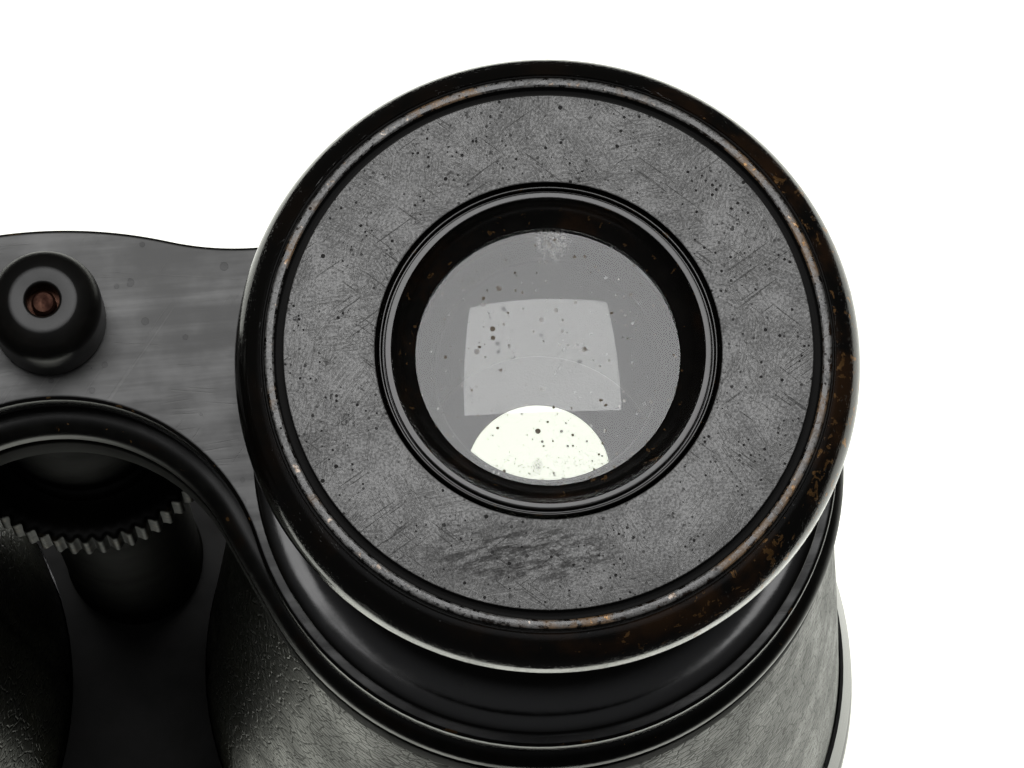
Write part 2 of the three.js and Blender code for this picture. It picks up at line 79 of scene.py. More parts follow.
# ---- meshes ---------------------------------------------------------------------------
ROUND = 144  # segments round a large turned piece
ROUND_SMALL = 64
SHARP = 32  # degrees between faces from which an edge is drawn sharp
FACING_IN = -0.2  # a face leans to the axis when its normal has less than this outward


def arc(centre_r, centre_z, radius_r, radius_z, start, end, steps):
    """Points of a profile on an arc, angles in degrees."""
    angles = [math.radians(start + (end - start) * i / steps) for i in range(steps + 1)]
    return [(centre_r + radius_r * math.cos(a), centre_z + radius_z * math.sin(a)) for a in angles]


def finished(bm, name):
    """A mesh made of bm, with its faces pointing out."""
    bmesh.ops.recalc_face_normals(bm, faces=bm.faces)
    mesh = bpy.data.meshes.new(name)
    bm.to_mesh(mesh)
    bm.free()
    return mesh


def turned_mesh(profile, x=0.0, y=0.0, segments=ROUND, shape=None):
    """A solid of revolution about the vertical at (x, y), from (radius, z) pairs.

    The profile closes on itself, or starts and ends on the axis. shape(angle, radius, z) may
    give a point another radius.
    """
    bm = bmesh.new()
    columns = []
    for i in range(segments):
        angle = 2 * math.pi * i / segments
        column = []
        for k, (radius, z) in enumerate(profile):
            if radius == 0 and columns:
                column.append(columns[0][k])
                continue
            r = shape(angle, radius, z) if shape else radius
            column.append(bm.verts.new(Vector((x + r * math.cos(angle), y + r * math.sin(angle), z)) * MM))
        columns.append(column)
    count = len(profile)
    closed = profile[0][0] != 0
    for i in range(segments):
        here, there = columns[i], columns[(i + 1) % segments]
        for k in range(count if closed else count - 1):
            above = (k + 1) % count
            corners = dict.fromkeys((here[k], there[k], there[above], here[above]))
            bm.faces.new(list(corners))
    return finished(bm, "turned")


def stand_for(node, mesh, material, body, sharp=SHARP, inside=None):
    """A finer piece in the place of a CAD node. inside is a material for faces toward its axis."""
    mesh.name = f"{node}_fine"
    mesh.shade_smooth()
    mesh.set_sharp_from_angle(angle=math.radians(sharp))
    mesh.materials.append(material)
    if inside:
        mesh.materials.append(inside)
        axis = math.copysign(AXIS_X * MM, sum(vert.co.x for vert in mesh.vertices))
        for face in mesh.polygons:
            out = Vector((face.center.x - axis, face.center.y, 0)).normalized()
            if face.normal.dot(out) < FACING_IN:
                face.material_index = 1
    piece = bpy.data.objects.new(mesh.name, mesh)
    bpy.context.scene.collection.objects.link(piece)
    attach(piece, body)
    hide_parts(node)


# ---- outlines of the bridges ------------------------------------------------------------
# Radii of the ring round each axis, the nose arch, the bulge behind the screw and the saddle
# between bulge and ring, with the Y of the arch's centre and of the bulge's far side.
UPPER_PLATE = {
    "ring": 19.7,
    "arch": 13.8,
    "arch_y": -9.07,
    "bulge": 31.6,
    "bulge_top": 16.4,
    "saddle": 20,
}
LOWER_PLATE = {
    "ring": 27.9,
    "arch": 9.5,
    "arch_y": -19,
    "bulge": 9,
    "bulge_top": 19,
    "saddle": 7,
}
ARC_STEPS = {"arch": 60, "ring": 96, "saddle": 24, "bulge": 48}
HOLE_STEPS = 96


def plan_arc(x, y, radius, start, end, steps):
    """Points of an outline on an arc, angles in radians, without the last point."""
    angles = [start + (end - start) * i / steps for i in range(steps)]
    return [(x + radius * math.cos(a), y + radius * math.sin(a)) for a in angles]


def saddle_centre(bulge_y, bulge, ring, saddle):
    """Centre of the arc that touches the bulge and the right ring from outside."""
    to_bulge, to_ring = bulge + saddle, ring + saddle
    distance = math.hypot(AXIS_X, bulge_y)
    along = (to_bulge**2 - to_ring**2 + distance**2) / (2 * distance)
    across = math.sqrt(to_bulge**2 - along**2)
    toward_x, toward_y = AXIS_X / distance, -bulge_y / distance
    return along * toward_x - across * toward_y, bulge_y + along * toward_y + across * toward_x


def bridge_outline(plan, grow, grow_arch):
    """Two rings joined by the nose arch, the bulge round the screw and a saddle on each side."""
    ring = plan["ring"] + grow
    arch = plan["arch"] - grow_arch
    bulge = plan["bulge"] + grow
    saddle = plan["saddle"] - grow
    arch_y = plan["arch_y"]
    bulge_y = plan["bulge_top"] - plan["bulge"]
    saddle_x, saddle_y = saddle_centre(bulge_y, bulge, ring, saddle)
    span = math.hypot(AXIS_X, arch_y)
    arch_end = math.atan2(-arch_y, AXIS_X) + math.acos(min(1, (arch + ring) / span))
    to_saddle = math.atan2(saddle_y, saddle_x - AXIS_X)
    from_bulge = math.atan2(saddle_y - bulge_y, saddle_x)
    half = math.pi
    steps = ARC_STEPS
    return [
        *plan_arc(0, arch_y, arch, half - arch_end, arch_end, steps["arch"]),
        *plan_arc(AXIS_X, 0, ring, arch_end - half, to_saddle, steps["ring"]),
        *plan_arc(saddle_x, saddle_y, saddle, to_saddle + half, from_bulge + half, steps["saddle"]),
        *plan_arc(0, bulge_y, bulge, from_bulge, half - from_bulge, steps["bulge"]),
        *plan_arc(-saddle_x, saddle_y, saddle, -from_bulge, -to_saddle, steps["saddle"]),
        *plan_arc(-AXIS_X, 0, ring, half - to_saddle, 2 * half - arch_end, steps["ring"]),
    ]


def rounded(bottom, top, low, high, grow=0.0, grow_arch=0.0, steps=5):
    """Levels (grow, grow of the arch, z) of a plate, its edges rounded by the radii low and high."""
    quarter = [math.pi / 2 * i / steps for i in range(steps + 1)]
    below = [(low * (1 - math.sin(a)), bottom + low * (1 - math.cos(a))) for a in quarter]
    above = [(high * (1 - math.cos(a)), top - high * (1 - math.sin(a))) for a in quarter]
    return [(grow - inset, grow_arch - inset, z) for inset, z in below + above]


def plate_mesh(plan, edge, holes):
    """A plate whose outline grows from level to level, with round holes (x, y, radius)."""
    bm = bmesh.new()

    def loop(points, z):
        return [bm.verts.new(Vector((x, y, z)) * MM) for x, y in points]

    def wall(lower, upper):
        for i in range(len(lower)):
            bm.faces.new((lower[i - 1], lower[i], upper[i], upper[i - 1]))

    outer = [loop(bridge_outline(plan, grow, grow_arch), z) for grow, grow_arch, z in edge]
    for lower, upper in zip(outer, outer[1:]):
        wall(lower, upper)
    bottom, top = [outer[0]], [outer[-1]]
    for x, y, radius in holes:
        points = plan_arc(x, y, radius, 0, 2 * math.pi, HOLE_STEPS)
        lower, upper = loop(points, edge[0][2]), loop(points, edge[-1][2])
        wall(lower, upper)
        bottom.append(lower)
        top.append(upper)
    for loops in (bottom, top):
        rim = [bm.edges.get((ring[i - 1], ring[i])) for ring in loops for i in range(len(ring))]
        bmesh.ops.triangle_fill(bm, use_beauty=True, use_dissolve=False, edges=rim)
    return finished(bm, "plate")


# ---- materials ------------------------------------------------------------------------
class Shade:
    """A Principled material whose patterns are in object coordinates, which are metres."""

    def __init__(self, name, **plain):
        self.material = bpy.data.materials.new(name)
        self.material.use_nodes = True
        self.tree = self.material.node_tree
        self.tree.nodes.clear()
        output = self.tree.nodes.new("ShaderNodeOutputMaterial")
        self.shader = self.tree.nodes.new("ShaderNodeBsdfPrincipled")
        self.tree.links.new(self.shader.outputs["BSDF"], output.inputs["Surface"])
        self.position = self.tree.nodes.new("ShaderNodeTexCoord").outputs["Object"]
        for socket, value in plain.items():
            self.shader.inputs[socket.replace("_", " ")].default_value = value

    def wire(self, socket, value):
        """Links a value that is another node's output, or sets one that is plain."""
        if isinstance(value, bpy.types.NodeSocket):
            self.tree.links.new(value, socket)
        elif value is not None:
            socket.default_value = value

    def set(self, socket, value):
        self.wire(self.shader.inputs[socket], value)

    def math(self, operation, a, b=None):
        node = self.tree.nodes.new("ShaderNodeMath")
        node.operation = operation
        self.wire(node.inputs[0], a)
        self.wire(node.inputs[1], b)
        return node.outputs[0]

    def chain(self, operation, values):
        total = values[0]
        for value in values[1:]:
            total = self.math(operation, total, value)
        return total

    def times(self, *factors):
        return self.chain("MULTIPLY", factors)

    def plus(self, *terms):
        return self.chain("ADD", terms)

    def minus(self, whole, part):
        return self.math("SUBTRACT", whole, part)

    def most(self, *values):
        """The largest of the values."""
        return self.chain("MAXIMUM", values)

    def span(self, value, start, end):
        """Start where value is 0, and end where it is 1."""
        return self.plus(self.times(value, end - start), start)

    def step(self, value, low, high):
        """0 below low, 1 above high, smooth between; high may be the smaller."""
        node = self.tree.nodes.new("ShaderNodeMapRange")
        node.interpolation_type = "SMOOTHSTEP"
        self.wire(node.inputs["Value"], value)
        node.inputs["From Min"].default_value = low
        node.inputs["From Max"].default_value = high
        return node.outputs["Result"]

    def band(self, value, rise, fall):
        """1 between two pairs of levels: it rises over the first and falls over the second."""
        return self.times(self.step(value, *rise), self.step(value, fall[1], fall[0]))

    def mix(self, kind, factor, first, a, b):
        node = self.tree.nodes.new("ShaderNodeMix")
        node.data_type = kind
        self.wire(node.inputs["Factor"], factor)
        self.wire(node.inputs[first], a)
        self.wire(node.inputs[first + 1], b)
        return node.outputs

    def lerp(self, factor, a, b):
        """The number a where factor is 0, and b where it is 1."""
        return self.mix("FLOAT", factor, 2, a, b)[0]

    def blend(self, factor, a, b):
        """The colour a where factor is 0, and b where it is 1."""
        a, b = (c if isinstance(c, bpy.types.NodeSocket) else (*c, 1) for c in (a, b))
        return self.mix("RGBA", factor, 6, a, b)[2]

    def vector(self, operation, a, b=None):
        node = self.tree.nodes.new("ShaderNodeVectorMath")
        node.operation = operation
        self.wire(node.inputs[0], a)
        self.wire(node.inputs[1], b)
        return node.outputs["Value" if operation in ("LENGTH", "DISTANCE") else "Vector"]

    def split(self, vector):
        node = self.tree.nodes.new("ShaderNodeSeparateXYZ")
        self.wire(node.inputs[0], vector)
        return node.outputs

    def flat(self, across, along):
        """A vector with no height."""
        node = self.tree.nodes.new("ShaderNodeCombineXYZ")
        self.wire(node.inputs[0], across)
        self.wire(node.inputs[1], along)
        return node.outputs[0]

    def turn(self, degrees, stretch=(1, 1, 1)):
        """The position for a pattern turned about Z and drawn out along its own axes."""
        node = self.tree.nodes.new("ShaderNodeMapping")
        node.vector_type = "TEXTURE"
        node.inputs["Rotation"].default_value = (0, 0, math.radians(degrees))
        node.inputs["Scale"].default_value = stretch
        self.wire(node.inputs["Vector"], self.position)
        return node.outputs[0]

    def noise(self, size_mm, detail=3, roughness=0.55, vector=None, distortion=0.0):
        node = self.tree.nodes.new("ShaderNodeTexNoise")
        node.inputs["Scale"].default_value = 1 / (size_mm * MM)
        node.inputs["Detail"].default_value = detail
        node.inputs["Roughness"].default_value = roughness
        node.inputs["Distortion"].default_value = distortion
        self.wire(node.inputs["Vector"], vector or self.position)
        return node.outputs["Fac"]

    def patches(self, size_mm, low, high, detail=4, roughness=0.6, vector=None):
        """Ragged patches: noise, with 0 below low and 1 above high."""
        return self.step(self.noise(size_mm, detail, roughness, vector), low, high)

    def cells(self, size_mm, feature="F1"):
        node = self.tree.nodes.new("ShaderNodeTexVoronoi")
        node.feature = feature
        node.inputs["Scale"].default_value = 1 / (size_mm * MM)
        self.wire(node.inputs["Vector"], self.position)
        return node.outputs

    def bump(self, height, depth_mm):
        node = self.tree.nodes.new("ShaderNodeBump")
        node.inputs["Distance"].default_value = depth_mm * MM
        self.wire(node.inputs["Height"], height)
        self.set("Normal", node.outputs["Normal"])

    def upness(self):
        """The Z part of the surface's normal."""
        geometry = self.tree.nodes.new("ShaderNodeNewGeometry")
        return self.split(geometry.outputs["Normal"])[2]

    def rounded_edges(self):
        """1 on the rounded edges between level and upright faces, 0 on the faces themselves."""
        return self.band(self.math("ABSOLUTE", self.upness()), (0.3, 0.6), (0.9, 0.985))

    def from_axis(self):
        """The position across and along, X and Y, from the nearer optical axis."""
        x, y, _ = self.split(self.position)
        return self.minus(self.math("ABSOLUTE", x), AXIS_X * MM), y

    def distance_mm(self, across, along):
        """How far such a position is from where it is measured."""
        return self.math("DIVIDE", self.vector("LENGTH", self.flat(across, along)), MM)

    def hairlines(self, angles, spread=34, size_mm=0.22, low=0.66, high=0.74):
        """Straight fine scratches: noise drawn out along each angle, and kept where it peaks."""
        lines = []
        for angle in angles:
            line = self.patches(size_mm, low, high, 1, 0.4, self.turn(angle, (spread, 1, 1)))
            broken = self.patches(4 + angle % 3, 0.5, 0.6, 2, 0.5, self.turn(angle + 11))
            lines.append(self.times(line, broken))
        return self.most(*lines)

    def specks(self, size_mm, share):
        """Small round spots, on about that share of the cells."""
        cells = self.cells(size_mm)
        chance, size, _ = self.split(cells["Color"])
        chosen = self.step(chance, 1 - share, 1.02 - share)
        return self.times(chosen, self.math("LESS_THAN", cells["Distance"], self.times(size, 0.35)))


# Colours are linear red, green and blue.
BLACK = (0.0034, 0.0031, 0.0027)
BROWN = (0.035, 0.016, 0.006)
BRASS = (0.34, 0.19, 0.075)
HANDLED_MATT = 0.15  # specular level where years of handling have dulled a surface


def chipped(shade, mask, size_mm, low, high):
    """Where lacquer has worn off: ragged flakes within the mask."""
    ragged = shade.noise(size_mm, 5, 0.62, distortion=0.4)
    return shade.step(shade.plus(ragged, shade.span(mask, -0.22, 0.0)), low, high)


def lacquer(name, roughness, wear=0.6, base=BLACK, shine=0.5, top_roughness=None):
    """Black lacquer on brass: brown where thin, chipped at its edges, duller on level tops if asked."""
    shade = Shade(name, IOR=1.5, Specular_IOR_Level=shine)
    edges = shade.times(shade.rounded_edges(), wear)
    thin = shade.times(shade.patches(3.5, 0.5, 0.75), edges)
    bare = shade.times(chipped(shade, edges, 0.9, 0.62, 0.67), shade.step(edges, 0.1, 0.4))
    grimy = tuple(1.9 * part for part in base)
    body = shade.blend(shade.patches(1.6, 0.35, 0.75), base, grimy)
    body = shade.blend(shade.times(thin, 0.4), body, BROWN)
    shade.set("Base Color", shade.blend(bare, body, BRASS))
    shade.set("Metallic", bare)

    if top_roughness is not None:
        roughness = shade.lerp(shade.step(shade.upness(), 0.97, 0.995), roughness, top_roughness)
    smeared = shade.times(shade.patches(6, 0.4, 0.75, 3), 0.1)
    shade.set("Roughness", shade.plus(smeared, roughness, shade.times(bare, 0.12)))
    orange_peel = shade.times(shade.noise(0.9, 2, 0.5), 0.5)
    dents = shade.times(shade.specks(0.8, 0.12), 0.5)
    shade.bump(shade.minus(shade.minus(orange_peel, shade.times(bare, 0.8)), dents), 0.012)
    return shade.material


def satin_plate():
    """The moving plate: lacquer rubbed dull, streaked along X and darker in soft patches, with painted light
    that makes it paler toward the back.
    """
    dark, pale = (0.008, 0.0078, 0.0075), (0.045, 0.0445, 0.043)
    painted_back_light, scratched = (0.105, 0.104, 0.1), (0.12, 0.118, 0.112)
    shade = Shade("moving_plate_lacquer", IOR=1.5)
    streaks = shade.noise(1.1, 4, 0.6, shade.turn(3, (20, 1, 1)))
    rubbed = shade.lerp(0.5, streaks, shade.noise(4.5, 4, 0.6))
    lines = shade.hairlines((2, 8, 174, 55), spread=50)
    pits = shade.specks(0.9, 0.12)
    level = shade.step(shade.upness(), 0.9, 0.99)
    toward_back = shade.step(shade.split(shade.position)[1], -0.004, 0.015)
    edges = shade.rounded_edges()
    bare = shade.times(chipped(shade, edges, 1.4, 0.6, 0.66), shade.step(edges, 0.1, 0.4))

    body = shade.blend(shade.step(rubbed, 0.38, 0.66), dark, pale)
    # painted light: the colour grows paler toward the back edge, standing in for the lamp's light there
    body = shade.blend(shade.times(toward_back, 0.5), body, painted_back_light)
    body = shade.blend(level, BLACK, body)
    body = shade.blend(shade.times(pits, 0.8), body, BLACK)
    body = shade.blend(shade.times(lines, 0.35, level), body, scratched)
    shade.set("Base Color", shade.blend(bare, body, BRASS))
    shade.set("Metallic", bare)
    dull = shade.span(shade.step(rubbed, 0.65, 0.35), 0.3, 0.46)
    shade.set("Roughness", shade.lerp(level, 0.2, dull))
    cut = shade.plus(pits, shade.times(lines, 0.3))
    shade.bump(shade.minus(shade.times(streaks, 0.35), cut), 0.015)
    return shade.material


def scuffed(shade, across, along):
    """A rubbed place in front of the lens, of short dark marks."""
    centre = (-0.002, -0.0125, 0.0)
    longer_across = (0.32, 1.0, 1.0)
    offset = shade.vector("SUBTRACT", shade.flat(across, along), centre)
    away = shade.vector("LENGTH", shade.vector("MULTIPLY", offset, longer_across))
    marks = shade.patches(0.34, 0.42, 0.62, 5, 0.75, shade.turn(12, (4, 1, 1)))
    return shade.times(shade.step(away, 0.0026, 0.0009), marks)


def eyecup_lacquer():
    """Satin on the flat face, glossy on the bead and the rounded rim, brown and brass where worn."""
    satin_dark, satin_pale = (0.048, 0.0475, 0.0455), (0.165, 0.163, 0.158)
    scratched, pitted = (0.26, 0.257, 0.25), (0.006, 0.0055, 0.005)
    brass_film, dull_brass = (0.2, 0.11, 0.04), (0.2, 0.1, 0.035)
    shade = Shade("eyecup_lacquer", IOR=1.5)

    # where each part of the eyecup is, and how worn its outer side is
    across, along = shade.from_axis()
    radius = shade.distance_mm(across, along)
    up = shade.upness()
    face = shade.band(radius, (FACE_IN, FACE_IN + 0.05), (FACE_OUT - 0.05, FACE_OUT))
    face = shade.times(face, shade.step(up, 0.6, 0.8))
    bead = shade.band(radius, (BEAD_IN, BEAD_IN + 0.08), (BEAD_OUT - 0.15, BEAD_OUT))
    bead = shade.times(bead, shade.step(up, 0.6, 0.9))
    groove = shade.band(radius, (FACE_OUT - 0.03, FACE_OUT + 0.01), (BEAD_IN - 0.02, BEAD_IN + 0.03))
    rim = shade.times(shade.step(radius, BEAD_OUT - 0.1, BEAD_OUT + 0.2), shade.step(up, -0.6, -0.2))
    outward = shade.step(shade.plus(across, shade.times(along, -0.25)), -0.006, 0.016)

    # the satin of the face, its scratches and its pits
    grain = shade.noise(0.16, 3, 0.7)
    rubbed = shade.lerp(0.7, shade.noise(2.4, 5, 0.65), grain)
    fine = shade.hairlines((52, 66, 118, 8, 81, 153), spread=26, size_mm=0.07, low=0.56, high=0.7)
    long = shade.hairlines((34, 141), spread=40, size_mm=0.13, low=0.68, high=0.73)
    clusters = shade.patches(3.0, 0.36, 0.58, 2, 0.55)
    pits = shade.most(shade.times(shade.specks(0.3, 0.45), clusters), shade.specks(0.42, 0.06))
    blots = shade.times(shade.patches(0.55, 0.6, 0.68, 4, 0.7), clusters)
    marks = shade.most(shade.times(blots, 0.6), shade.times(scuffed(shade, across, along), 0.65))
    marks = shade.most(shade.times(pits, 0.95), marks, shade.times(long, 0.4))
    satin = shade.blend(shade.step(rubbed, 0.38, 0.62), satin_dark, satin_pale)
    satin = shade.blend(shade.times(fine, 0.4), satin, scratched)
    satin = shade.blend(marks, satin, pitted)
    brassy = shade.times(bead, shade.patches(5.5, 0.54, 0.64, 3, 0.55))
    satin = shade.blend(shade.times(brassy, 0.8), satin, brass_film)

    # the gloss of the rim and the bead, and where it is worn through
    worn_bead = shade.times(bead, shade.patches(0.7, 0.4, 0.52, 4, 0.7))
    amount = shade.span(outward, 0.15, 1.0)
    brown = shade.times(amount, shade.patches(4.5, 0.46, 0.66), shade.most(rim, bead))
    flakes_within = shade.most(shade.times(rim, amount), shade.times(bead, 0.9))
    bare = shade.most(shade.times(rim, shade.span(outward, 0.1, 0.9)), bead)
    bare = shade.times(chipped(shade, flakes_within, 0.7, 0.58, 0.63), bare)
    gloss = shade.blend(shade.times(brown, 0.55), BLACK, BROWN)
    gloss = shade.blend(bare, gloss, shade.blend(shade.noise(0.5), dull_brass, BRASS))

    shade.set("Base Color", shade.blend(shade.most(face, shade.times(worn_bead, 0.8)), gloss, satin))
    shade.set("Metallic", shade.times(bare, 0.9))
    shiny = shade.plus(shade.span(shade.noise(1.4, 4, 0.6), 0.05, 0.13), shade.times(bare, 0.2))
    dull = shade.span(shade.step(rubbed, 0.62, 0.38), 0.24, 0.44)
    rough = shade.lerp(shade.most(face, worn_bead), shiny, shade.lerp(marks, dull, 0.85))
    shade.set("Roughness", shade.lerp(groove, rough, 0.9))
    swell = shade.plus(shade.times(grain, 0.5), shade.times(shade.noise(0.9, 4, 0.6), 0.3))
    cut = shade.most(pits, shade.times(long, 0.7), shade.times(bare, 0.5))
    relief = shade.minus(swell, shade.plus(cut, shade.times(fine, 0.5)))
    shade.bump(shade.times(relief, shade.span(face, 0.2, 1.0)), 0.022)
    return shade.material


def leather_material():
    """Thin grained leather, made smooth and glossy by handling, with worn streaks along the barrel."""
    dark, worn = (0.006, 0.0063, 0.0045), (0.024, 0.025, 0.016)
    creased, tan = (0.002, 0.002, 0.0015), (0.3, 0.16, 0.05)
    shade = Shade("leather", IOR=1.5, Specular_IOR_Level=HANDLED_MATT, Specular_Tint=(0.95, 1.0, 0.8, 1))
    ridges = shade.step(shade.cells(0.9, "DISTANCE_TO_EDGE")["Distance"], 0.0, 0.14)
    streaks = shade.noise(4.5, 5, 0.62, shade.turn(0, (1, 1, 2.6)))
    z = shade.split(shade.position)[2]
    top = LEATHER_TOP * MM
    cut_edge = shade.times(shade.step(z, top - 0.0006, top - 0.0003), shade.patches(2.2, 0.35, 0.5, 3, 0.55))

    colour = shade.blend(shade.step(streaks, 0.4, 0.68), dark, worn)
    colour = shade.blend(shade.times(shade.step(ridges, 0.6, 0.0), 0.6), colour, creased)
    shade.set("Base Color", shade.blend(shade.times(cut_edge, 0.9), colour, tan))
    rough = shade.span(shade.step(streaks, 0.35, 0.7), 0.4, 0.26)
    shade.set("Roughness", shade.plus(rough, shade.times(shade.step(ridges, 0.5, 0.0), 0.15)))
    pores = shade.times(shade.noise(0.35, 3, 0.6), 0.35)
    shade.bump(shade.plus(shade.times(ridges, 0.9), pores), 0.036)
    return shade.material


def brass_material(name, roughness, clean, tarnished):
    """Bare brass, tarnished in patches and lightly scratched."""
    shade = Shade(name, Metallic=1.0)
    tarnish = shade.patches(1.8, 0.4, 0.68, 5, 0.62)
    shade.set("Base Color", shade.blend(tarnish, clean, tarnished))
    shade.set("Roughness", shade.span(tarnish, roughness, roughness + 0.3))
    shade.bump(shade.plus(shade.noise(0.4, 3, 0.6), shade.hairlines((20, 95, 150))), 0.01)
    return shade.material


def knurled_lacquer():
    """The focus wheel: black in the hollows, its ridges worn to brass."""
    grimy, worn = (0.006, 0.0055, 0.005), (0.16, 0.12, 0.07)
    shade = Shade("wheel_lacquer", IOR=1.5, Specular_IOR_Level=HANDLED_MATT)
    x, y, _ = shade.split(shade.position)
    radius = shade.distance_mm(x, shade.minus(y, SCREW_Y * MM))
    ridge = shade.step(radius, WHEEL_R - 0.38, WHEEL_R - 0.12)
    bare = shade.times(ridge, shade.patches(1.3, 0.45, 0.65), 0.45)
    body = shade.blend(shade.patches(1.2, 0.4, 0.7), BLACK, grimy)
    shade.set("Base Color", shade.blend(bare, body, worn))
    shade.set("Metallic", shade.times(bare, 0.9))
    shade.set("Roughness", shade.span(shade.noise(0.8, 3, 0.6), 0.38, 0.58))
    shade.bump(shade.noise(0.5, 3, 0.6), 0.015)
    return shade.material


def matt_black():
    """The blacking inside the tubes, which stops stray light."""
    shade = Shade("inside_black", IOR=1.45)
    soot, dusty = (0.0015, 0.0015, 0.0015), (0.005, 0.0048, 0.0045)
    shade.set("Base Color", shade.blend(shade.noise(0.8, 4, 0.6), soot, dusty))
    shade.set("Roughness", shade.span(shade.noise(2.0), 0.62, 0.82))
    shade.bump(shade.noise(0.3, 3, 0.6), 0.02)
    return shade.material


def felt_material():
    """Dark felt, its fibres matted."""
    shade = Shade("felt", Sheen_Weight=0.4)
    fibre = shade.noise(0.25, 4, 0.7, distortion=1.2)
    shade.set("Base Color", shade.blend(fibre, (0.008, 0.008, 0.008), (0.035, 0.034, 0.032)))
    shade.set("Roughness", shade.span(fibre, 0.88, 0.98))
    shade.bump(fibre, 0.08)
    return shade.material


def lens_glass(name, dirt):
    """Clear glass with dust specks and a smudge; dirt is how much of them there is, 0 to 1."""
    clear, grime = (0.99, 1.0, 0.985), (0.1, 0.075, 0.045)
    shade = Shade(name, IOR=1.52)
    across, along = shade.from_axis()
    dust = shade.most(shade.specks(0.3, 0.2), shade.specks(0.5, 0.08))
    dust = shade.times(dust, shade.patches(2.2, 0.36, 0.5, 2, 0.55), dirt)
    from_smudge = shade.vector("DISTANCE", shade.flat(across, along), (0.0006, 0.0076, 0.0))
    smudge = shade.times(shade.step(from_smudge, 0.0014, 0.0002), dirt)
    smudge = shade.times(smudge, shade.patches(0.3, 0.45, 0.62, 4, 0.7))
    near_edge = shade.step(along, -0.0055, -0.0075)
    crust = shade.times(shade.patches(0.2, 0.58, 0.64, 4, 0.7), near_edge, dirt)
    soil = shade.most(dust, crust, smudge)
    shade.set("Base Color", shade.blend(soil, clear, grime))
    shade.set("Roughness", shade.times(soil, 0.6))
    shade.set("Transmission Weight", shade.minus(1.0, soil))
    return shade.material


EYECUP = eyecup_lacquer()
GLOSS = lacquer("gloss_lacquer", 0.08)
LEDGE = lacquer("ledge_lacquer", 0.08, top_roughness=0.72)
NUT = lacquer("nut_lacquer", 0.36, 0.3, shine=0.35)
SHADED = lacquer("shaded_lacquer", 0.66, 0.3, shine=0.08)
FRAME = lacquer("frame_lacquer", 0.68, 0.6, (0.004, 0.004, 0.0034), 0.1)
BEZEL = lacquer("bezel_lacquer", 0.12, 0.95)
NECK = lacquer("neck_lacquer", 0.14, 0.2)
TUBE = lacquer("draw_tube_lacquer", 0.12, 0.5)
PLATE_EDGE = lacquer("plate_lacquer", 0.34, 0.75, (0.005, 0.005, 0.0045), 0.2)
SATIN = satin_plate()
LEATHER = leather_material()
AGED_BRASS = brass_material("aged_brass", 0.3, (0.5, 0.31, 0.12), (0.16, 0.09, 0.04))
PIN = brass_material("pin_brass", 0.42, (0.1, 0.05, 0.035), (0.04, 0.018, 0.014))
WHEEL = knurled_lacquer()
MATT = matt_black()
FELT = felt_material()
EYE_GLASS = lens_glass("eye_lens_glass", 1.0)
OBJECT_GLASS = lens_glass("object_glass", 0.3)


# ---- eyepieces ------------------------------------------------------------------------
LENS_R = 9.0  # eye lens


def eyecup_profile():
    """From the foot out and round the rim, in over the bead and the flat face, and down the bore."""
    foot, face = levels("eyecup_right")
    rim = outer_radius("eyecup_right")
    hollow, seat = 13.3, face - 4.8
    corner, crown = (0.9, 1.3), (1.9, 2.75)  # radius and height of the rim's lower and upper curve
    return [
        (13.6, foot),
        (13.9, foot),
        *arc(13.9, foot + 0.3, 0.3, 0.3, -70, -10, 3),
        (15.1, foot + 1.8),
        (16.3, foot + 3.1),
        *arc(rim - corner[0], face - 4.0, *corner, -70, 0, 10),
        *arc(rim - crown[0], face - 3.0, *crown, 0, 82, 16),
        (BEAD_OUT + 0.1, face - 0.34),
        (BEAD_OUT + 0.04, face - 0.44),
        (BEAD_OUT - 0.04, face - 0.34),
        *arc(BEAD_OUT - 0.28, face - 0.24, 0.2, 0.2, -20, 80, 6),
        *arc(BEAD_IN + 0.26, face - 0.2, 0.22, 0.16, 95, 190, 6),
        (BEAD_IN - 0.04, face - 0.5),
        (BEAD_IN - 0.22, face - 0.62),
        (FACE_OUT + 0.05, face - 0.5),
        (FACE_OUT, face - 0.1),
        *arc(FACE_OUT - 0.08, face - 0.08, 0.08, 0.08, 0, 90, 4),
        *arc(FACE_IN + 0.1, face - 0.1, 0.1, 0.1, 90, 180, 4),
        (EYECUP_BORE + 0.1, face - 0.5),
        (EYECUP_BORE, face - 0.6),
        (EYECUP_BORE, seat),
        (hollow, seat),
        (hollow, foot),
    ]


def bezel_profile():
    """A ring with two fine beads, whose cone leads down to the lens."""
    foot = levels("lens_bezel_right")[0]
    outside, groove, cone, opening = EYECUP_BORE - 0.08, 9.96, 9.38, 8.0
    return [
        (9.3, foot),
        (10.0, foot),
        (outside, FACE - 1.2),
        (outside, FACE - 0.2),
        *arc(outside - 0.1, FACE - 0.16, 0.1, 0.1, 0, 180, 6),
        (groove, FACE - 0.42),
        (groove - 0.04, FACE - 0.42),
        (groove - 0.1, FACE - 0.14),
        *arc(groove - 0.18, FACE - 0.12, 0.08, 0.08, 0, 80, 4),
        *arc(cone + 0.12, FACE - 0.12, 0.09, 0.08, 100, 190, 4),
        (cone, FACE - 0.26),
        (opening + 0.1, FACE - 1.62),
        *arc(opening + 0.12, FACE - 1.75, 0.12, 0.13, 110, 190, 4),
        (opening, FACE - 2.08),
        (9.3, FACE - 2.1),
    ]


def lens_arc(vertex, curvature, bend, edge):
    """A lens face from the axis out to edge. bend is 1 where it rises outward, -1 where it falls."""
    steps = 24
    radii = [edge * i / steps for i in range(steps + 1)]
    return [(r, vertex + bend * (curvature - math.sqrt(curvature**2 - r**2))) for r in radii]


def eye_lens_profile():
    """Nearly flat above and deeply hollow below."""
    lower = lens_arc(FACE - 4.65, 47.8, -1, LENS_R)
    upper = lens_arc(FACE - 2.4, 170, 1, LENS_R)
    return [*lower, *reversed(upper)]


